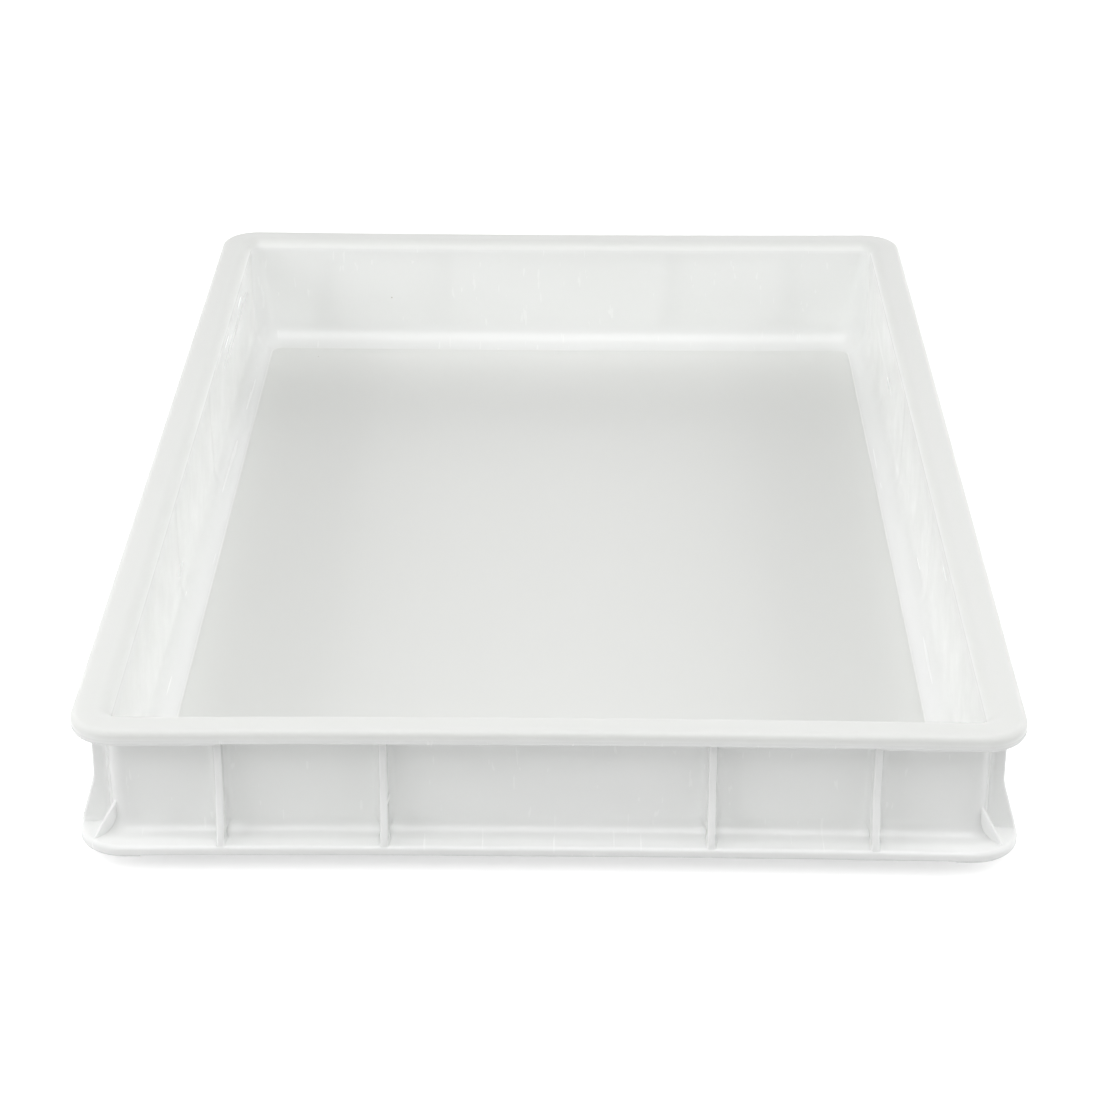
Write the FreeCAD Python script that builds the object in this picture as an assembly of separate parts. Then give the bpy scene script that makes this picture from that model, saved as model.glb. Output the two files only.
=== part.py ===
import FreeCAD, Part
import math
import os

from FreeCAD import Vector

# Stackable dough tray, one moulding. X runs across the short side, Y along the long side
# and Z up from the plane that the tray stands on. Lengths are in millimetres.

# Overall size
tray_width = 400.0
tray_length = 600.0
tray_height = 70.0

# Rim: the flat flange round the mouth of the well
rim_thickness = 6.8
rim_corner_radius = 20.0
rim_top_radius = 3.0
rim_underside_chamfer = 0.8
rim_reach = 16.8
mouth_radius = 7.0

# Corner pads: the rim is a little thicker from the last rib of each short side round the corner
rim_pad_depth = 0.8
rim_pad_run = 62.0
rim_pad_return = 24.0

# Well: drafted inside walls, with tight corners at the mouth and round ones at the floor
wall_thickness = 2.8
well_draft = 0.9
well_mouth_corner_radius = 5.0
well_floor_corner_radius = 16.0
floor_fillet_radius = 12.0
floor_thickness = 3.0

# Stacking shoulder: the flange low on the walls, with the outline of the rim
shoulder_height = 9.0
shoulder_thickness = 4.5
shoulder_setback = 0.3
shoulder_corner_radius = 21.0
shoulder_edge_radius = 1.8
shoulder_underside_chamfer = 0.8
shoulder_fillet_radius = 8.0

# Corner seats: thin pads under the shoulder's corners, which rest on the rim of the tray below
seat_reach = 28.0
seat_depth = 0.6
seat_inset = 0.6

# Nesting foot: the box below the shoulder, which enters the mouth of the tray below
nest_clearance = 1.2
foot_corner_radius = 12.0
foot_edge_radius = 9.0
foot_ring_width = 6.0
foot_ring_height = 3.0
foot_ring_corner_radius = 8.0

# Ribs between shoulder and rim, on a steady pitch from the middle of each side.
# Their outer edge stands back under the rim and flares out to the shoulder below.
rib_pitch = 69.0
rib_thickness = 3.4
rib_edge_chamfer = 0.6
rib_root_radius = 2.5
rib_root_bury = 0.1
rib_setback = 7.0
rib_toe_inset = 0.4
rib_toe_height = 1.0
rib_flare_height = 20.8
rib_bend_radius = 12.0
rib_toe_radius = 14.0

# Corner gussets: thin webs on the shoulder, along each corner's diagonal
gusset_thickness = 1.5
gusset_height = 13.2

# Reach of a cutting shape past the face that it cuts, and the slack for finding an edge by its place
overrun = 1.0
edge_slack = 0.05

# Places that follow from the sizes above
half_width = tray_width / 2
half_length = tray_length / 2
rim_underside = tray_height - rim_thickness
rim_middle = tray_height - rim_thickness / 2
well_half_width = half_width - rim_reach
well_half_length = half_length - rim_reach
floor_top = foot_ring_height + floor_thickness
wall_half_width = well_half_width + wall_thickness
wall_half_length = well_half_length + wall_thickness
wall_corner_radius = well_mouth_corner_radius + wall_thickness
shoulder_half_width = half_width - shoulder_setback
shoulder_half_length = half_length - shoulder_setback
shoulder_middle = shoulder_height + shoulder_thickness / 2
shoulder_top = shoulder_height + shoulder_thickness
rib_flare_bottom = shoulder_top + rib_toe_height
rib_flare_top = rib_flare_bottom + rib_flare_height
foot_half_width = well_half_width - nest_clearance
foot_half_length = well_half_length - nest_clearance
diagonal_share = math.sqrt(0.5)


def outline(half_x, half_y, radius, z):
    # Closed rounded rectangle about the Z axis: four corner arcs joined by straights.
    in_x = half_x - radius
    in_y = half_y - radius
    bend = radius * diagonal_share
    arcs = []
    for sx, sy in ((1, 1), (-1, 1), (-1, -1), (1, -1)):
        on_side = Vector(sx * half_x, sy * in_y, z)
        on_bend = Vector(sx * (in_x + bend), sy * (in_y + bend), z)
        on_end = Vector(sx * in_x, sy * half_y, z)
        ends = (on_side, on_end) if sx == sy else (on_end, on_side)
        arcs.append(Part.Arc(ends[0], on_bend, ends[1]))
    edges = []
    for arc, following in zip(arcs, arcs[1:] + arcs[:1]):
        edges.append(arc.toShape())
        edges.append(Part.LineSegment(arc.EndPoint, following.StartPoint).toShape())
    return Part.Wire(edges)


def slab(half_x, half_y, radius, low, high):
    # Plate with a rounded outline between two heights.
    return Part.Face(outline(half_x, half_y, radius, low)).extrude(Vector(0, 0, high - low))


def prism(points, sweep):
    # Solid with a straight-sided section.
    return Part.Face(Part.makePolygon(points + points[:1])).extrude(sweep)


def tapered(wires):
    # Solid through outlines at rising heights, with its straight sides as true planes.
    faces = []
    for face in Part.makeLoft(wires, True, True).Faces:
        plane = face.findPlane()
        faces.append(Part.Face(plane, face.OuterWire) if plane else face)
    return Part.Solid(Part.makeShell(faces)).removeSplitter()


def level_edges(shape, z, half_x, half_y):
    # Edges that lie flat at one height, inside an outline of these half sizes.
    edges = []
    for edge in shape.Edges:
        box = edge.BoundBox
        flat = max(abs(box.ZMin - z), abs(box.ZMax - z)) < edge_slack
        wide = max(abs(box.XMin), abs(box.XMax)) - half_x
        long = max(abs(box.YMin), abs(box.YMax)) - half_y
        if flat and max(wide, long) < edge_slack:
            edges.append(edge)
    return edges


def rim_plate():
    plate = slab(half_width, half_length, rim_corner_radius, rim_underside, tray_height)
    plate = plate.makeFillet(rim_top_radius, level_edges(plate, tray_height, half_width, half_length))
    lower_edges = level_edges(plate, rim_underside, half_width, half_length)
    return plate.makeChamfer(rim_underside_chamfer, lower_edges)


def wall_block():
    # The walls, still solid, with the shoulder round them and its hollow fillet.
    walls = slab(wall_half_width, wall_half_length, wall_corner_radius, shoulder_middle, rim_middle)
    sizes = (shoulder_half_width, shoulder_half_length)
    shelf = slab(*sizes, shoulder_corner_radius, shoulder_height, shoulder_top)
    shelf = shelf.makeFillet(shoulder_edge_radius, level_edges(shelf, shoulder_top, *sizes))
    shelf = shelf.makeChamfer(shoulder_underside_chamfer, level_edges(shelf, shoulder_height, *sizes))
    block = walls.fuse(shelf).removeSplitter()
    return block.makeFillet(shoulder_fillet_radius, level_edges(block, shoulder_top, wall_half_width, wall_half_length))


def corner_pads(half_x, half_y, radius, run, turn, low, high):
    # The four corners of a plate with a rounded outline: a run along X, a return along Y.
    plate = slab(half_x, half_y, radius, low, high)
    pad = plate.common(Part.makeBox(run, turn, high - low, Vector(half_x - run, half_y - turn, low)))
    side_pads = [pad, pad.mirror(Vector(0, 0, 0), Vector(0, 1, 0))]
    return side_pads + [side_pad.mirror(Vector(0, 0, 0), Vector(1, 0, 0)) for side_pad in side_pads]


def rim_pads():
    half_x = half_width - rim_underside_chamfer
    half_y = half_length - rim_underside_chamfer
    radius = rim_corner_radius - rim_underside_chamfer
    low = rim_underside - rim_pad_depth
    return corner_pads(half_x, half_y, radius, rim_pad_run, rim_pad_return, low, rim_middle)


def corner_seats():
    half_x = shoulder_half_width - seat_inset
    half_y = shoulder_half_length - seat_inset
    radius = shoulder_corner_radius - seat_inset
    low = shoulder_height - seat_depth
    return corner_pads(half_x, half_y, radius, seat_reach, seat_reach, low, shoulder_middle)


def nesting_foot():
    foot = slab(foot_half_width, foot_half_length, foot_corner_radius, 0, shoulder_middle)
    foot = foot.makeFillet(foot_edge_radius, level_edges(foot, 0, foot_half_width, foot_half_length))
    ring_inset = foot_edge_radius + foot_ring_width
    hollow_half_width = foot_half_width - ring_inset
    hollow_half_length = foot_half_length - ring_inset
    hollow = slab(hollow_half_width, hollow_half_length, foot_ring_corner_radius, -overrun, foot_ring_height)
    return foot.cut(hollow)


def rib_web(wall, rim_edge):
    # The flat of one rib on the +X wall: upright under the rim, flared out to the shoulder's edge.
    side = rib_thickness / 2
    heel = wall - wall_thickness
    tip = rim_edge - rib_setback
    toe = rim_edge - shoulder_setback - rib_toe_inset
    profile = [
        Vector(heel, -side, shoulder_middle),
        Vector(toe, -side, shoulder_middle),
        Vector(toe, -side, rib_flare_bottom),
        Vector(tip, -side, rib_flare_top),
        Vector(tip, -side, rim_middle),
        Vector(heel, -side, rim_middle),
    ]
    web = prism(profile, Vector(0, rib_thickness, 0))
    web = web.makeFillet(rib_toe_radius, level_edges(web, rib_flare_bottom, toe, side))
    web = web.makeFillet(rib_bend_radius, level_edges(web, rib_flare_top, tip, side))
    outer_edges = []
    for edge in web.Edges:
        box = edge.BoundBox
        if box.XMin > wall and box.ZLength > edge_slack:
            outer_edges.append(edge)
    return web.makeChamfer(rib_edge_chamfer, outer_edges)


def rib_root(wall):
    # Hollow fillets at both sides of a rib, where it leaves the +X wall.
    side = rib_thickness / 2
    foot = side + rib_root_radius
    heel = wall - wall_thickness
    root = wall - rib_root_bury
    front = root + rib_root_radius
    bend = rib_root_radius * (1 - diagonal_share)
    lines = []
    for turn in (1, -1):
        hollow = Part.Arc(
            Vector(root, turn * foot, shoulder_middle),
            Vector(root + bend, turn * (side + bend), shoulder_middle),
            Vector(front, turn * side, shoulder_middle),
        )
        heel_point = Vector(heel, turn * foot, shoulder_middle)
        lines.append(hollow.toShape())
        lines.append(Part.LineSegment(heel_point, hollow.StartPoint).toShape())
    for x, y in ((heel, foot), (front, side)):
        lines.append(Part.LineSegment(Vector(x, y, shoulder_middle), Vector(x, -y, shoulder_middle)).toShape())
    section = Part.Face(Part.Wire(Part.__sortEdges__(lines)))
    return section.extrude(Vector(0, 0, rim_middle - shoulder_middle))


def ribs():
    # Ribs at every pitch from the middle of a side, along its straight stretch, none at the middle itself.
    bars = []
    sides = (
        (0, wall_half_width, half_width, wall_half_length),
        (90, wall_half_length, half_length, wall_half_width),
    )
    for angle, wall, rim_edge, reach in sides:
        bar = rib_web(wall, rim_edge).fuse(rib_root(wall))
        straight = reach - wall_corner_radius
        for count in range(1, int(straight // rib_pitch) + 1):
            for step in (count, -count):
                for turn in (angle, angle + 180):
                    placed = bar.translated(Vector(0, step * rib_pitch, 0))
                    bars.append(placed.rotated(Vector(0, 0, 0), Vector(0, 0, 1), turn))
    return bars


def gussets():
    # A web on each corner's diagonal, from the wall down to the shoulder's corner.
    corner_x = wall_half_width - wall_corner_radius
    corner_y = wall_half_length - wall_corner_radius
    shoulder_corner_x = shoulder_half_width - shoulder_corner_radius
    reach = shoulder_corner_radius + (shoulder_corner_x - corner_x) / diagonal_share - shoulder_edge_radius
    side = gusset_thickness / 2
    points = [
        Vector(0, -side, shoulder_middle),
        Vector(reach, -side, shoulder_middle),
        Vector(reach, -side, shoulder_top),
        Vector(wall_corner_radius, -side, shoulder_top + gusset_height),
        Vector(0, -side, shoulder_top + gusset_height),
    ]
    web = prism(points, Vector(0, gusset_thickness, 0))
    webs = []
    for sx, sy, turn in ((1, 1, 45), (-1, 1, 135), (-1, -1, 225), (1, -1, 315)):
        turned = web.rotated(Vector(0, 0, 0), Vector(0, 0, 1), turn)
        webs.append(turned.translated(Vector(sx * corner_x, sy * corner_y, 0)))
    return webs


def well():
    # The hollow for the dough: drafted walls, rounder corners towards the floor, a floor fillet.
    low_x = well_half_width - well_draft
    low_y = well_half_length - well_draft
    floor = outline(low_x, low_y, well_floor_corner_radius, floor_top)
    mouth = outline(well_half_width, well_half_length, well_mouth_corner_radius, tray_height)
    hollow = tapered([floor, mouth])
    hollow = hollow.makeFillet(floor_fillet_radius, level_edges(hollow, floor_top, low_x, low_y))
    above = slab(well_half_width, well_half_length, well_mouth_corner_radius, tray_height, tray_height + overrun)
    return hollow.fuse(above)


def tray():
    body = wall_block().fuse([rim_plate(), nesting_foot()] + rim_pads() + corner_seats() + ribs() + gussets())
    body = body.cut(well()).removeSplitter()
    mouth = level_edges(body, tray_height, well_half_width, well_half_length)
    return body.makeFillet(mouth_radius, mouth)


os.makedirs("parts", exist_ok=True)
moulding = tray()
solid = moulding.Solids[0]
print("tray: solids", len(moulding.Solids), "valid", solid.isValid(), "volume cm3", round(solid.Volume / 1000, 1))
print("tray: box", solid.BoundBox)
solid.exportStep("parts/tray.step")
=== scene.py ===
import math

import bmesh
import bpy
from mathutils import Matrix, Vector


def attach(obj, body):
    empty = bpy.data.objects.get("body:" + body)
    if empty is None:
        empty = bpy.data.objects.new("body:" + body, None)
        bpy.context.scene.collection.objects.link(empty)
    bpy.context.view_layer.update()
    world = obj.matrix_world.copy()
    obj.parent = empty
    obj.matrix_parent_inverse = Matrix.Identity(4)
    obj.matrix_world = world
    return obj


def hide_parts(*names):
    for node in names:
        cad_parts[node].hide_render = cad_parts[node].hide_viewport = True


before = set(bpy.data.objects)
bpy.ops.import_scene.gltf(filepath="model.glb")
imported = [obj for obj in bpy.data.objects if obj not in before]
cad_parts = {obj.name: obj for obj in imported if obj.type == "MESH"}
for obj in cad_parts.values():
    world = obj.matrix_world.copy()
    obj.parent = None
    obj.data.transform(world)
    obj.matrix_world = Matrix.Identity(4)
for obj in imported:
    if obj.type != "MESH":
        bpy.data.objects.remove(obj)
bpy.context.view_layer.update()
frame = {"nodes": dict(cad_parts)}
scene = bpy.context.scene
scene.view_settings.view_transform = "Standard"
mm = 0.001
weld = 2e-6         # metres within which points count as one
print("frame loaded:", ", ".join(frame["nodes"]))


# camera, at the photograph's place
cameraSettings = {
    "place": (0.0128, -1.32694, 0.66365),
    "turn": 0.666,      # degrees to the left of straight ahead
    "tilt": 26.353,     # degrees down from level
    "roll": 0.084,
    "sensor": 36.0,
    "lens": 94.17,
    "clip": (0.05, 50.0),
}


def makeCamera(s):
    data = bpy.data.cameras.new("photoCamera")
    data.sensor_width = s["sensor"]
    data.lens = s["lens"]
    data.clip_start, data.clip_end = s["clip"]
    camera = bpy.data.objects.new("photoCamera", data)
    scene.collection.objects.link(camera)
    aim = Matrix.Rotation(math.radians(s["turn"]), 4, "Z")
    aim = aim @ Matrix.Rotation(math.radians(90.0 - s["tilt"]), 4, "X")
    aim = aim @ Matrix.Rotation(math.radians(s["roll"]), 4, "Z")
    camera.matrix_world = Matrix.Translation(s["place"]) @ aim
    scene.camera = camera


makeCamera(cameraSettings)
print("camera placed")


# small helpers for nodes and meshes
def addNode(tree, kind, values=None, **settings):
    node = tree.nodes.new(kind)
    for key, value in settings.items():
        setattr(node, key, value)
    for key, value in (values or {}).items():
        node.inputs[key].default_value = value
    return node


def addMath(tree, operation, one, other):
    node = addNode(tree, "ShaderNodeMath", operation=operation)
    tree.links.new(one, node.inputs[0])
    tree.links.new(other, node.inputs[1])
    return node.outputs[0]


def toMesh(bm, name):
    mesh = bpy.data.meshes.new(name)
    bm.to_mesh(mesh)
    bm.free()
    return mesh


def toObject(bm, name):
    made = bpy.data.objects.new(name, toMesh(bm, name))
    scene.collection.objects.link(made)
    return made


def clamp(value, low=0.0, high=1.0):
    return min(max(value, low), high)


# plain studio: white surroundings, pale floor, soft lamps round the tray
studioSettings = {
    "white": (1.0, 1.0, 1.0, 1.0),
    "fill": 0.02,                           # light from all round
    "floorColor": (0.76, 0.76, 0.76, 1.0),
    "floorGlow": 0.55,                      # near the tray, so that its shadow shows
    "glowRise": (0.9, 2.2),                 # metres from the middle over which the floor turns white
    "floorSize": 6.0,
    "aim": (0.0, 0.0, 0.03),
}
lampSettings = {                            # place, power in watts, width and height
    "frontTop": ((0.0, -1.0, 1.5), 13.7, 1.2, 1.3),
    "leftSide": ((-1.5, 0.0, 0.7), 6.0, 1.4, 0.8),
    "rightSide": ((1.5, 0.0, 0.7), 6.0, 1.4, 0.8),
    "backLeft": ((-1.0, 1.4, 0.45), 6.2, 0.8, 0.5),
    "backRight": ((1.0, 1.4, 0.45), 8.8, 0.8, 0.5),
    "leftFront": ((-1.3, -0.95, 0.6), 4.8, 0.7, 0.7),
    "rightFront": ((1.3, -0.95, 0.6), 2.6, 0.7, 0.7),
    "leftHigh": ((-1.2, 0.0, 1.3), 5.5, 1.4, 0.8),
    "rightHigh": ((1.2, 0.0, 1.3), 5.5, 1.4, 0.8),
    "overhead": ((0.0, 0.0, 1.6), 1.1, 2.0, 2.0),
}
mirroredLamps = ("frontTop",)               # the others give soft light without a highlight


def seenDirectly(tree):
    # 1 for rays that show the background as it is: the camera's, mirrored and passed through
    rays = addNode(tree, "ShaderNodeLightPath").outputs
    either = addMath(tree, "MAXIMUM", rays["Is Camera Ray"], rays["Is Glossy Ray"])
    return addMath(tree, "MAXIMUM", either, rays["Is Transmission Ray"])


def makeWorld(s):
    world = bpy.data.worlds.new("studioWorld")
    world.use_nodes = True
    tree = world.node_tree
    tree.nodes.clear()
    out = addNode(tree, "ShaderNodeOutputWorld")
    seen = addNode(tree, "ShaderNodeBackground", {"Color": s["white"], "Strength": 1.0})
    light = addNode(tree, "ShaderNodeBackground", {"Color": s["white"], "Strength": s["fill"]})
    mix = addNode(tree, "ShaderNodeMixShader")
    tree.links.new(seenDirectly(tree), mix.inputs[0])
    tree.links.new(light.outputs[0], mix.inputs[1])
    tree.links.new(seen.outputs[0], mix.inputs[2])
    tree.links.new(mix.outputs[0], out.inputs["Surface"])
    scene.world = world


def makeLamp(name, place, aim, power, width, height, mirrored):
    data = bpy.data.lights.new(name, "AREA")
    data.shape = "RECTANGLE"
    data.size = width
    data.size_y = height
    data.energy = power
    lamp = bpy.data.objects.new(name, data)
    scene.collection.objects.link(lamp)
    lamp.location = place
    lamp.rotation_euler = (Vector(aim) - Vector(place)).to_track_quat("-Z", "Y").to_euler()
    lamp.visible_camera = False
    lamp.visible_glossy = mirrored


def makeFloor(s):
    material = bpy.data.materials.new("studioFloor")
    material.use_nodes = True
    tree = material.node_tree
    tree.nodes.clear()
    out = addNode(tree, "ShaderNodeOutputMaterial")
    matte = addNode(tree, "ShaderNodeBsdfDiffuse", {"Color": s["floorColor"]})
    glow = addNode(tree, "ShaderNodeEmission")
    both = addNode(tree, "ShaderNodeAddShader")
    coords = addNode(tree, "ShaderNodeTexCoord")
    away = addNode(tree, "ShaderNodeVectorMath", operation="LENGTH")
    near, far = s["glowRise"]
    rise = addNode(tree, "ShaderNodeMapRange",
                   {"From Min": near, "From Max": far, "To Min": s["floorGlow"], "To Max": 1.0})
    tree.links.new(coords.outputs["Object"], away.inputs[0])
    tree.links.new(away.outputs["Value"], rise.inputs["Value"])
    level = addMath(tree, "MULTIPLY", seenDirectly(tree), rise.outputs["Result"])
    tree.links.new(level, glow.inputs["Strength"])
    tree.links.new(matte.outputs[0], both.inputs[0])
    tree.links.new(glow.outputs[0], both.inputs[1])
    tree.links.new(both.outputs[0], out.inputs["Surface"])
    bm = bmesh.new()
    bmesh.ops.create_grid(bm, x_segments=1, y_segments=1, size=s["floorSize"])
    floor = toObject(bm, "studioFloor")
    floor.data.materials.append(material)


makeWorld(studioSettings)
makeFloor(studioSettings)
for lampName, (place, power, width, height) in lampSettings.items():
    makeLamp(lampName, place, studioSettings["aim"], power, width, height, lampName in mirroredLamps)
print("studio lit:", len(lampSettings), "lamps")


# tray body: lofted from the hollow under the floor, out over the shoulder and rim, and down into the well
traySizes = {
    "halfWidth": 200.0,
    "halfLength": 300.0,
    "cornerSteps": 14,
    "loops": {              # inset from the rim's edge, height, corner radius
        "hollowTop": (33.0, 3.0, 8.0),
        "hollowMouth": (33.0, 0.0, 8.0),
        "footEdge": (18.0, 0.0, 12.0),
        "footTop": (18.0, 9.0, 12.0),
        "shoulderLower": (0.3, 9.0, 21.0),
        "shoulderUpper": (0.3, 13.5, 21.0),
        "wallFoot": (14.0, 13.5, 7.8),
        "wallTop": (14.0, 63.2, 7.8),
        "rimLower": (0.0, 63.2, 20.0),
        "rimUpper": (0.0, 70.0, 20.0),
        "mouth": (16.8, 70.0, 5.0),
        "floorEdge": (17.7, 6.0, 17.0),
    },
    "rounding": {           # width and steps of each rounded edge
        "hollowTop": (1.2, 2),
        "hollowMouth": (0.8, 2),
        "footEdge": (8.8, 6),
        "shoulderLower": (0.9, 3),
        "shoulderUpper": (1.8, 4),
        "wallFoot": (8.0, 8),
        "wallTop": (1.0, 3),
        "rimLower": (0.9, 3),
        "rimUpper": (3.0, 7),
        "mouth": (7.0, 9),
        "floorEdge": (15.5, 10),
    },
    "midWall": (15.4, 6.4),     # inset and corner radius of a line inside the wall's thickness
    "slack": 0.01,              # how near a point has to be to count as at a height or on a face
    "outlineSlack": 0.02,       # and as on a loop's outline
}


def addLoop(bm, inset, height, radius, cover):
    known = set(bm.edges)
    x = (traySizes["halfWidth"] - inset) * mm
    y = (traySizes["halfLength"] - inset) * mm
    signs = ((-1, -1), (1, -1), (1, 1), (-1, 1))
    corners = [bm.verts.new((sx * x, sy * y, height * mm)) for sx, sy in signs]
    bm.faces.new(corners)
    bmesh.ops.bevel(bm, geom=corners, offset=radius * mm, offset_type="OFFSET", affect="VERTICES",
                    segments=traySizes["cornerSteps"], profile=0.5, material=-1)
    edges = [edge for edge in bm.edges if edge not in known]
    if not cover:
        faces = list({face for edge in edges for face in edge.link_faces})
        bmesh.ops.delete(bm, geom=faces, context="FACES_ONLY")
    return edges


def loftLoops(bm, loops, ring):
    # bridged at spread heights, because loops in one plane can be paired the wrong way round
    spread = 20.0
    edges = []
    for step, (inset, _, radius) in enumerate(loops):
        cover = not ring and step in (0, len(loops) - 1)
        edges.append(addLoop(bm, inset, step * spread, radius, cover))
    pairs = list(zip(edges, edges[1:]))
    if ring:
        pairs.append((edges[-1], edges[0]))
    for one, other in pairs:
        bmesh.ops.bridge_loops(bm, edges=one + other)
    for vert in bm.verts:
        vert.co.z = loops[round(vert.co.z / mm / spread)][1] * mm
    bmesh.ops.recalc_face_normals(bm, faces=bm.faces)


def offLoop(point, inset, radius):
    # distance outside a loop's outline in plan, in millimetres
    x = abs(point.x) / mm - (traySizes["halfWidth"] - inset - radius)
    y = abs(point.y) / mm - (traySizes["halfLength"] - inset - radius)
    return math.hypot(max(x, 0.0), max(y, 0.0)) + min(max(x, y), 0.0) - radius


def atHeight(vert, height):
    return abs(vert.co.z / mm - height) < traySizes["slack"]


def loopEdges(bm, inset, height, radius):
    def onLoop(vert):
        return atHeight(vert, height) and abs(offLoop(vert.co, inset, radius)) < traySizes["outlineSlack"]
    return [edge for edge in bm.edges if onLoop(edge.verts[0]) and onLoop(edge.verts[1])]


def roundEdges(bm, edges, width, steps):
    bmesh.ops.bevel(bm, geom=edges, offset=width * mm, offset_type="OFFSET", affect="EDGES",
                    segments=steps, profile=0.5, loop_slide=True, material=-1)


def raiseFaces(bm, faces, move):
    grown = bmesh.ops.extrude_face_region(bm, geom=faces)
    verts = [part for part in grown["geom"] if isinstance(part, bmesh.types.BMVert)]
    bmesh.ops.translate(bm, verts=verts, vec=Vector(move) * mm)
    bmesh.ops.recalc_face_normals(bm, faces=bm.faces)


def cutAcross(bm, place, normal, clear=False):
    return bmesh.ops.bisect_plane(bm, geom=bm.verts[:] + bm.edges[:] + bm.faces[:], dist=weld,
                                  plane_co=Vector(place) * mm, plane_no=normal, clear_inner=clear)


def loftTray(s):
    bm = bmesh.new()
    loftLoops(bm, list(s["loops"].values()), ring=False)
    for name, (width, steps) in s["rounding"].items():
        roundEdges(bm, loopEdges(bm, *s["loops"][name]), width, steps)
    return toObject(bm, "trayMoulding")


# ribs under the rim: thin webs with hollow roots, flared out towards the shoulder
ribSizes = {
    "pitch": 69.0,
    "counts": {"side": 4, "end": 2},    # ribs each way from the middle of a long side and of an end
    "thickness": 4.0,                   # at the wall
    "edgeThickness": 3.2,
    "edgeRounding": 0.9,
    "edgeSteps": 3,
    "rootRadius": 3.2,
    "rootSteps": 6,
    "rootSpare": 0.5,                   # width of the buried base beyond the hollow root
    "base": (-1.5, -0.04),              # how far the base reaches into the wall, and where its face lies
    "wallInset": 14.0,
    "depth": 7.0,                       # under the rim
    "toeDepth": 13.2,                   # on the shoulder
    "flare": (14.3, 35.4),
    "flareSteps": 16,
    "flareSoftness": 0.16,
    "reach": (11.3, 66.0),
    "toeRadius": 2.6,                   # hollow where the rib stands on the shoulder
    "toeCuts": (0.0, 0.12, 0.25, 0.45, 0.75),
    "toeFade": (3.0, 0.1),              # run in which it fades towards the rib's edge, and share left
    "shoulderTop": 13.4,
}


def flareShare(share, soft):
    # straight ramp from 0 to 1 with rounded ends
    if share <= soft:
        return max(share + soft, 0.0) ** 2 / (4 * soft)
    if share >= 1 - soft:
        return 1 - max(1 + soft - share, 0.0) ** 2 / (4 * soft)
    return share


def makeRib(s):
    # one rib, with the wall's face at x = 0 and its run along x
    bm = bmesh.new()
    half, tip, root = s["thickness"] / 2, s["edgeThickness"] / 2, s["rootRadius"]
    wide = half + root + s["rootSpare"]
    buried, face = s["base"]
    plan = [(buried, -wide), (face, -wide), (face, -half), (s["depth"], -tip)]
    plan += [(x, -y) for x, y in reversed(plan)]
    low, high = s["reach"]
    verts = [bm.verts.new((x * mm, y * mm, low * mm)) for x, y in plan]
    bm.faces.new(verts)
    bmesh.ops.bevel(bm, geom=[verts[2], verts[5]], offset=root * mm, offset_type="OFFSET",
                    affect="VERTICES", segments=s["rootSteps"], profile=0.5, material=-1)
    raiseFaces(bm, bm.faces[:], (0, 0, high - low))
    bottom, top = s["flare"]
    steps = s["flareSteps"]
    toe, foot = s["toeRadius"], s["shoulderTop"]
    # from one step below the flare to two above it
    heights = [bottom + (top - bottom) * step / steps for step in range(-1, steps + 3)]
    for z in heights + [foot + toe * share for share in s["toeCuts"]]:
        cutAcross(bm, (0, 0, z), (0, 0, 1))
    outer = [vert for vert in bm.verts if vert.co.x > (s["depth"] - traySizes["slack"]) * mm]
    for vert in outer:
        share = flareShare((vert.co.z / mm - bottom) / (top - bottom), s["flareSoftness"])
        vert.co.x = (s["toeDepth"] + (s["depth"] - s["toeDepth"]) * share) * mm
    run, least = s["toeFade"]
    for vert in bm.verts:
        up = clamp(vert.co.z / mm - foot, high=toe)
        spread = toe - math.sqrt(toe * toe - (toe - up) ** 2)
        if vert.co.x > 0.0:
            inside = clamp((s["toeDepth"] - vert.co.x / mm) / run, low=least)
            vert.co.y += math.copysign(spread * inside * mm, vert.co.y)
    upright = [edge for edge in bm.edges if all(vert in outer for vert in edge.verts)
               and edge.verts[0].co.y * edge.verts[1].co.y > 0.0]
    roundEdges(bm, upright, s["edgeRounding"], s["edgeSteps"])
    bmesh.ops.recalc_face_normals(bm, faces=bm.faces)
    return toMesh(bm, "rib")


def addCopy(bm, mesh, place):
    copy = mesh.copy()
    copy.transform(place)
    if place.determinant() < 0:
        copy.flip_normals()
    bm.from_mesh(copy)
    bpy.data.meshes.remove(copy)


def placeRibs(s):
    rib = makeRib(s)
    bm = bmesh.new()
    sides = ((0, traySizes["halfWidth"], "side"), (90, traySizes["halfLength"], "end"))
    for angle, half, side in sides:
        count = s["counts"][side]
        for step in [k for k in range(-count, count + 1) if k]:
            for turn in (angle, angle + 180):
                place = Matrix.Translation(((half - s["wallInset"]) * mm, step * s["pitch"] * mm, 0))
                addCopy(bm, rib, Matrix.Rotation(math.radians(turn), 4, "Z") @ place)
    bpy.data.meshes.remove(rib)
    return toObject(bm, "ribs")


# corner work: pads under the rim's and the shoulder's corners, and a thin web on each diagonal
cornerSizes = {
    "rimPad": {             # outline's and core's inset and corner radius, then heights and length each way
        "outer": (0.6, 19.4), "core": (15.4, 6.4),
        "low": 62.4, "high": 66.0, "run": 62.0, "turn": 24.0,
    },
    "seat": {
        "outer": (0.8, 20.5), "core": (19.0, 11.0),
        "low": 8.4, "high": 11.0, "run": 27.4, "turn": 27.4,
    },
    "gusset": {
        "thickness": 1.6, "start": 4.0, "reach": 19.9,
        "low": 11.8, "foot": 13.3, "top": 26.7, "wallRadius": 7.8,
    },
    "rounding": (0.5, 3),   # width and steps on the pads' and gussets' free edges
    "freeAngle": 1.0,       # radians past which a pad's edge is a corner, not a stretch of its outline
    "clearOfCore": 0.1,
}


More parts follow.
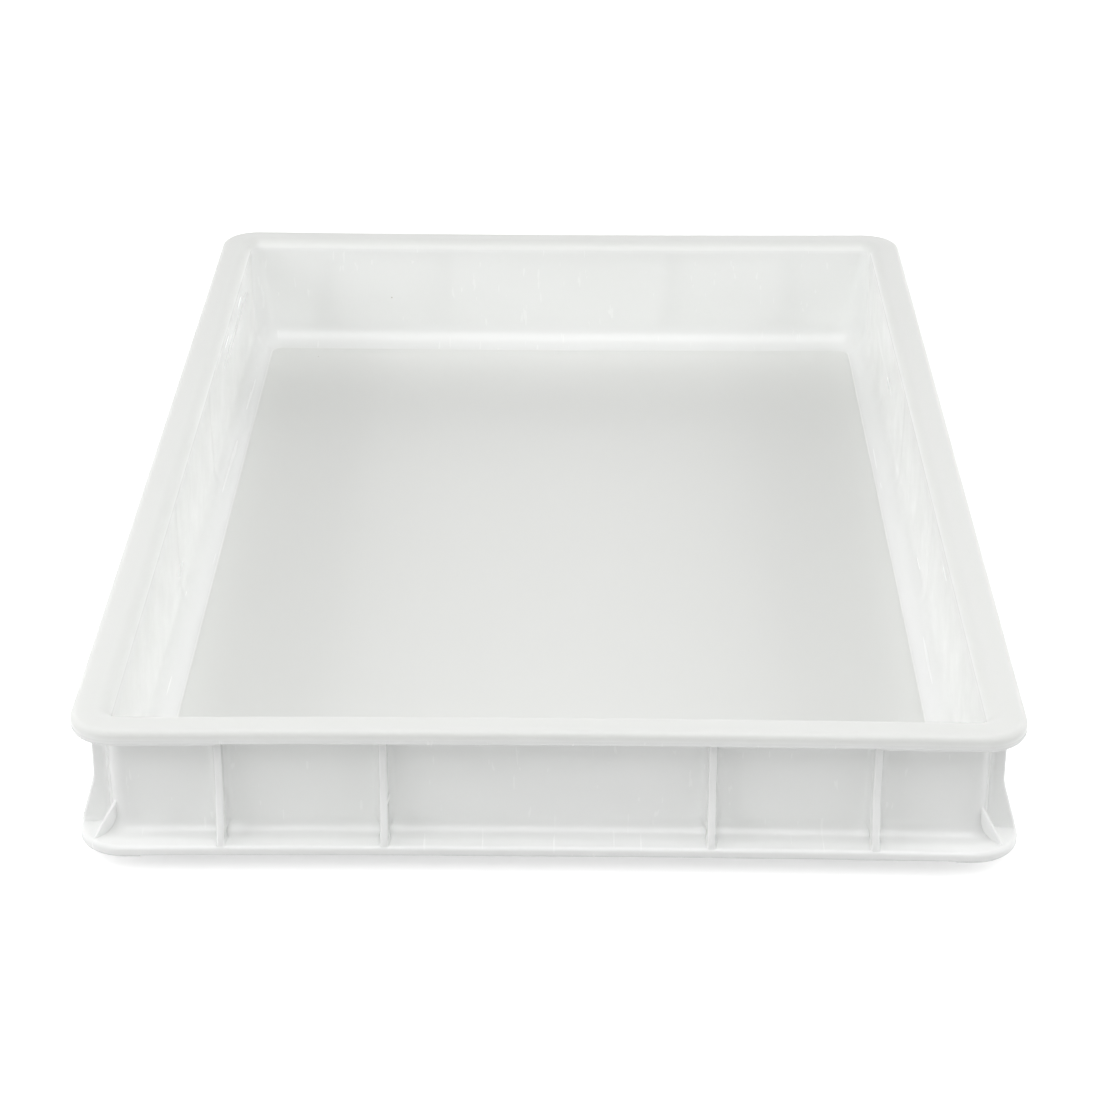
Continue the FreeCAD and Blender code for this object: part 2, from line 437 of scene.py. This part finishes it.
def makePad(s):
    # the +X +Y corner of a flat ring with the tray's outline
    bm = bmesh.new()
    (inset, radius), (core, coreRadius) = s["outer"], s["core"]
    loftLoops(bm, [(inset, s["low"], radius), (inset, s["high"], radius),
                   (core, s["high"], coreRadius), (core, s["low"], coreRadius)], ring=True)
    x = traySizes["halfWidth"] - inset - s["run"]
    y = traySizes["halfLength"] - inset - s["turn"]
    for place, normal in (((x, 0, 0), (1, 0, 0)), ((0, y, 0), (0, 1, 0))):
        cut = cutAcross(bm, place, normal, clear=True)
        gap = [part for part in cut["geom_cut"] if isinstance(part, bmesh.types.BMEdge)]
        bmesh.ops.edgeloop_fill(bm, edges=gap)
    bmesh.ops.recalc_face_normals(bm, faces=bm.faces)
    low = [edge for edge in bm.edges if edge.calc_face_angle() > cornerSizes["freeAngle"]
           and all(atHeight(vert, s["low"]) for vert in edge.verts)
           and any(offLoop(vert.co, *s["core"]) > cornerSizes["clearOfCore"] for vert in edge.verts)]
    roundEdges(bm, low, *cornerSizes["rounding"])
    return toMesh(bm, "pad")


def makeGusset(s):
    bm = bmesh.new()
    half = s["thickness"] / 2
    side = [(s["start"], s["low"]), (s["reach"], s["low"]), (s["reach"], s["foot"]),
            (s["wallRadius"], s["top"]), (s["start"], s["top"])]
    bm.faces.new([bm.verts.new((r * mm, -half * mm, z * mm)) for r, z in side])
    raiseFaces(bm, bm.faces[:], (0, s["thickness"], 0))
    ridge = []
    for edge in bm.edges:
        run = edge.verts[1].co - edge.verts[0].co
        if abs(run.x) > mm and abs(run.z) > mm:
            ridge.append(edge)
    roundEdges(bm, ridge, *cornerSizes["rounding"])
    x = traySizes["halfWidth"] - ribSizes["wallInset"] - s["wallRadius"]
    y = traySizes["halfLength"] - ribSizes["wallInset"] - s["wallRadius"]
    place = Matrix.Translation((x * mm, y * mm, 0)) @ Matrix.Rotation(math.radians(45), 4, "Z")
    bmesh.ops.transform(bm, matrix=place, verts=bm.verts)
    return toMesh(bm, "gusset")


def placeCorners(s):
    bm = bmesh.new()
    for mesh in (makePad(s["rimPad"]), makePad(s["seat"]), makeGusset(s["gusset"])):
        for sx, sy in ((1, 1), (-1, 1), (-1, -1), (1, -1)):
            addCopy(bm, mesh, Matrix.Diagonal((sx, sy, 1, 1)))
        bpy.data.meshes.remove(mesh)
    return toObject(bm, "corners")


def joinParts(body, parts):
    for part in parts:
        union = body.modifiers.new(part.name, "BOOLEAN")
        union.operation = "UNION"
        union.solver = "EXACT"
        union.object = part
    shown = body.evaluated_get(bpy.context.evaluated_depsgraph_get())
    mesh = bpy.data.meshes.new_from_object(shown)
    old = body.data
    body.modifiers.clear()
    body.data = mesh
    bpy.data.meshes.remove(old)
    for part in parts:
        bpy.data.objects.remove(part)


# what moulding and use leave: ends drawn in a little, sink lines in the well behind the middle ribs
# of the long sides, and a crease where the floor meets its fillet
settleSizes = {
    "endBow": 2.4,
    "bowFrom": 120.0,
    "cutsX": [25.0 * k for k in range(-7, 8)],
    "cutsY": [30.0 * k for k in range(-9, 10)],
    "cutsZ": [24.0, 34.0, 44.0, 54.0],
    "sinkDepth": 0.3,
    "sinkWidth": 4.6,
    "sinkCuts": (-2.0, -1.0, -0.5, 0.0, 0.5, 1.0, 2.0),     # in widths from the sink line's middle
    "sinkWall": (180.0, 184.6),     # where the well's long walls lie, out from the middle
    "sinkHeights": (8.0, 66.0),
    "sinkFade": 8.0,
    "floorTop": 6.0,
    "floorCrease": 0.8,             # how far the floor's fillet dips into the floor, which leaves a crease
    "creaseFade": (12.0, 24.0),     # heights between which the dip dies out
    "underside": 5.0,
    "sharpFrom": 34.0,              # degrees
    "sharpOnFloor": 7.0,
    "normalWeight": 60,
    "partingLine": 66.9,            # height where the mould's core and its outer half meet
}


def cutTray(bm, s):
    # cuts across wide faces, so that they can bend
    middles = (-ribSizes["pitch"], ribSizes["pitch"])
    sinkCuts = [middle + off * s["sinkWidth"] for middle in middles for off in s["sinkCuts"]]
    for x in s["cutsX"]:
        cutAcross(bm, (x, 0, 0), (1, 0, 0))
    for y in s["cutsY"] + sinkCuts:
        cutAcross(bm, (0, y, 0), (0, 1, 0))
    for z in s["cutsZ"]:
        cutAcross(bm, (0, 0, z), (0, 0, 1))


def pickSkins(bm, s):
    # the inner skin is the first material, the outer skin the second
    for face in bm.faces:
        middle = face.calc_center_median()
        outside = offLoop(middle, *traySizes["midWall"]) > 0 and middle.z / mm < s["partingLine"]
        under = middle.z / mm < s["underside"]
        face.material_index = 1 if outside or under else 0
        face.smooth = True


def bendTray(bm, s):
    sinkAt = ribSizes["pitch"]
    wallY = traySizes["halfLength"] - ribSizes["wallInset"]
    innerX, outerX = s["sinkWall"]
    sinkLow, sinkHigh = s["sinkHeights"]
    dipFull, dipEnd = s["creaseFade"]
    for vert in bm.verts:
        x, y, z = (value / mm for value in vert.co)
        if innerX < abs(x) < outerX:
            away = (abs(y) - sinkAt) / s["sinkWidth"]
            fade = clamp((sinkHigh - z) / s["sinkFade"]) * clamp((z - sinkLow) / s["sinkFade"])
            vert.co.x += math.copysign(s["sinkDepth"] * math.exp(-away * away) * fade * mm, x)
        if offLoop(vert.co, *traySizes["midWall"]) < 0 and s["floorTop"] <= z < dipEnd:
            drop = s["floorCrease"] * clamp((dipEnd - z) / (dipEnd - dipFull))
            vert.co.z = max(z - drop, s["floorTop"]) * mm
        share = clamp((abs(y) - s["bowFrom"]) / (wallY - s["bowFrom"]))
        share = share * share * (3 - 2 * share)
        vert.co.y -= math.copysign(s["endBow"] * share * (1 - (x / traySizes["halfWidth"]) ** 2) * mm, y)


def markSharp(bm, s):
    for edge in bm.edges:
        onFloor = all(atHeight(vert, s["floorTop"]) for vert in edge.verts)
        limit = s["sharpOnFloor"] if onFloor else s["sharpFrom"]
        edge.smooth = edge.calc_face_angle(0.0) < math.radians(limit)


def settleTray(tray, s):
    bm = bmesh.new()
    bm.from_mesh(tray.data)
    bmesh.ops.remove_doubles(bm, verts=bm.verts, dist=weld)
    cutTray(bm, s)
    pickSkins(bm, s)
    bendTray(bm, s)
    markSharp(bm, s)
    bm.to_mesh(tray.data)
    bm.free()
    normals = tray.modifiers.new("evenNormals", "WEIGHTED_NORMAL")
    normals.keep_sharp = True
    normals.weight = s["normalWeight"]


tray = loftTray(traySizes)
print("tray lofted:", len(tray.data.polygons), "faces")
joinParts(tray, [placeCorners(cornerSizes), placeRibs(ribSizes)])
print("ribs and corners joined:", len(tray.data.polygons), "faces")
settleTray(tray, settleSizes)
print("tray settled:", len(tray.data.polygons), "faces")
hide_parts("tray")
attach(tray, "root")


# moulded skin of white polyethylene: cloudy tint, painted shade on the low parts and along the rim's top,
# fine ripple, rubbed patches, scratches and a few specks
skinInputs = {
    "Tint": "NodeSocketColor",
    "Clouded Tint": "NodeSocketColor",
    "Painted Shade Tint": "NodeSocketColor",
    "Smooth": "NodeSocketFloat",
    "Dull": "NodeSocketFloat",
    "Rub": "NodeSocketFloat",
    "Scratches": "NodeSocketFloat",
    "Low Wear And Shade": "NodeSocketFloat",
    "High Wear And Shade": "NodeSocketFloat",
}
skinOutputs = {"Color": "NodeSocketColor", "Roughness": "NodeSocketFloat", "Height": "NodeSocketFloat"}
skinSettings = {            # a span gives the values at which a mask is 0 and 1
    "cloud": {"Scale": 7.0, "Detail": 3.0, "Roughness": 0.55},
    "cloudSpan": (0.35, 0.68),
    # painted shade: heights below and above which the tint is greyed; the same bands make the surface
    # duller
    "wearAndShadeBands": {"Low Wear And Shade": (0.0064, 0.00605), "High Wear And Shade": (0.0645, 0.068)},     # heights in metres
    "scratchSets": ((0.3, (260.0, 5.0, 60.0)), (-1.15, (340.0, 7.0, 60.0))),        # turn and stretch
    "scratch": {"Scale": 1.0, "Detail": 2.0, "Roughness": 0.6},
    "scratchSpan": (0.66, 0.74),
    "patch": {"Scale": 38.0, "Detail": 4.0, "Roughness": 0.65},
    "patchSpan": (0.42, 0.72),
    "cells": {"Scale": 21.0, "Randomness": 1.0},
    "speckSpan": (0.012, 0.006),
    "speckless": 0.86,      # share of the cells that have no speck
    "speckColor": (0.58, 0.56, 0.5, 1.0),
    "ripple": {"Scale": 260.0, "Detail": 2.0, "Roughness": 0.5},
}


def makeSkinGroup(s):
    group = bpy.data.node_groups.new("mouldedSkin", "ShaderNodeTree")
    for name, kind in skinInputs.items():
        group.interface.new_socket(name, in_out="INPUT", socket_type=kind)
    for name, kind in skinOutputs.items():
        group.interface.new_socket(name, in_out="OUTPUT", socket_type=kind)
    link = group.links.new
    given = addNode(group, "NodeGroupInput").outputs
    made = addNode(group, "NodeGroupOutput").inputs
    place = addNode(group, "ShaderNodeTexCoord").outputs["Object"]

    def noise(values, vector):
        node = addNode(group, "ShaderNodeTexNoise", values)
        link(vector, node.inputs["Vector"])
        return node.outputs["Fac"]

    def mask(value, span):
        node = addNode(group, "ShaderNodeMapRange", {"From Min": span[0], "From Max": span[1]})
        link(value, node.inputs["Value"])
        return node.outputs["Result"]

    def blend(kind, share, one, other):
        node = addNode(group, "ShaderNodeMix", data_type=kind)
        for key, socket in (("Factor", share), ("A", one), ("B", other)):
            link(socket, node.inputs[key])
        return node.outputs["Result"]

    # broad clouding of the tint
    cloud = mask(noise(s["cloud"], place), s["cloudSpan"])
    tint = blend("RGBA", cloud, given["Tint"], given["Clouded Tint"])

    # painted shade: a greyer tint below the floor's top, on the well's floor and the underside, and along
    # the rim's top; the same bands also make these parts duller
    height = addNode(group, "ShaderNodeSeparateXYZ")
    link(place, height.inputs["Vector"])
    bands = []
    for name, span in s["wearAndShadeBands"].items():
        bands.append(addMath(group, "MULTIPLY", mask(height.outputs["Z"], span), given[name]))
    wearAndShade = addMath(group, "MAXIMUM", *bands)
    greyed = blend("RGBA", wearAndShade, tint, given["Painted Shade Tint"])

    # fine straight scratches in two directions
    lines = []
    for turn, stretch in s["scratchSets"]:
        turned = addNode(group, "ShaderNodeMapping", {"Rotation": (0.0, 0.0, turn), "Scale": stretch})
        link(place, turned.inputs["Vector"])
        lines.append(mask(noise(s["scratch"], turned.outputs["Vector"]), s["scratchSpan"]))
    scratches = addMath(group, "MULTIPLY", addMath(group, "MAXIMUM", *lines), given["Scratches"])

    # patches rubbed dull
    patches = mask(noise(s["patch"], place), s["patchSpan"])
    rubbed = addMath(group, "MULTIPLY", patches, given["Rub"])
    worn = addMath(group, "MAXIMUM", addMath(group, "MAXIMUM", wearAndShade, rubbed), scratches)
    link(blend("FLOAT", worn, given["Smooth"], given["Dull"]), made["Roughness"])

    # a few specks in the melt
    cells = addNode(group, "ShaderNodeTexVoronoi", s["cells"])
    link(place, cells.inputs["Vector"])
    pick = addNode(group, "ShaderNodeSeparateColor")
    link(cells.outputs["Color"], pick.inputs["Color"])
    chosen = addNode(group, "ShaderNodeMath", {1: s["speckless"]}, operation="GREATER_THAN")
    link(pick.outputs["Red"], chosen.inputs[0])
    speck = addMath(group, "MULTIPLY", mask(cells.outputs["Distance"], s["speckSpan"]), chosen.outputs[0])
    speckled = addNode(group, "ShaderNodeMix", {"B": s["speckColor"]}, data_type="RGBA")
    link(speck, speckled.inputs["Factor"])
    link(greyed, speckled.inputs["A"])
    link(speckled.outputs["Result"], made["Color"])

    # ripple of the mould's polish, cut by the scratches
    link(addMath(group, "SUBTRACT", noise(s["ripple"], place), scratches), made["Height"])
    return group


skinGroup = makeSkinGroup(skinSettings)
plasticSettings = {
    "innerSkin": {          # well and rim's top, from the polished core; its tints, bluer than the outer skin's, are painted light for the cool light in the well
        "Tint": (0.88, 0.888, 0.878, 1.0),
        "Clouded Tint": (0.892, 0.898, 0.891, 1.0),
        # painted shade: greyer tint on the well's floor and along the rim's top
        "Painted Shade Tint": (0.8, 0.808, 0.786, 1.0),
        "Smooth": 0.22, "Dull": 0.55, "Rub": 0.15, "Scratches": 0.3,
        "Low Wear And Shade": 0.85, "High Wear And Shade": 0.7, "ripple": 0.04,
    },
    "outerSkin": {          # walls, ribs and shoulder, from the plainer outer half
        "Tint": (0.88, 0.888, 0.848, 1.0),
        "Clouded Tint": (0.89, 0.896, 0.864, 1.0),
        # painted shade: greyer tint on the underside
        "Painted Shade Tint": (0.85, 0.858, 0.82, 1.0),
        "Smooth": 0.19, "Dull": 0.42, "Rub": 0.6, "Scratches": 0.35,
        "Low Wear And Shade": 0.7, "High Wear And Shade": 0.0, "ripple": 0.08,
    },
    "rippleDepth": 0.0004,
    "scatter": {"Subsurface Weight": 1.0, "Subsurface Radius": (1.0, 1.0, 1.0), "Subsurface Scale": 0.003},
}


def makePlastic(name, s):
    material = bpy.data.materials.new(name)
    material.use_nodes = True
    tree = material.node_tree
    bsdf = tree.nodes["Principled BSDF"]
    skin = addNode(tree, "ShaderNodeGroup", node_tree=skinGroup)
    for key in skinInputs:
        skin.inputs[key].default_value = s[name][key]
    bump = addNode(tree, "ShaderNodeBump", {"Strength": s[name]["ripple"], "Distance": s["rippleDepth"]})
    tree.links.new(skin.outputs["Color"], bsdf.inputs["Base Color"])
    tree.links.new(skin.outputs["Roughness"], bsdf.inputs["Roughness"])
    tree.links.new(skin.outputs["Height"], bump.inputs["Height"])
    tree.links.new(bump.outputs["Normal"], bsdf.inputs["Normal"])
    for key, value in s["scatter"].items():
        bsdf.inputs[key].default_value = value
    return material


tray.data.materials.clear()
for skinName in ("innerSkin", "outerSkin"):
    tray.data.materials.append(makePlastic(skinName, plasticSettings))
print("tray dressed")
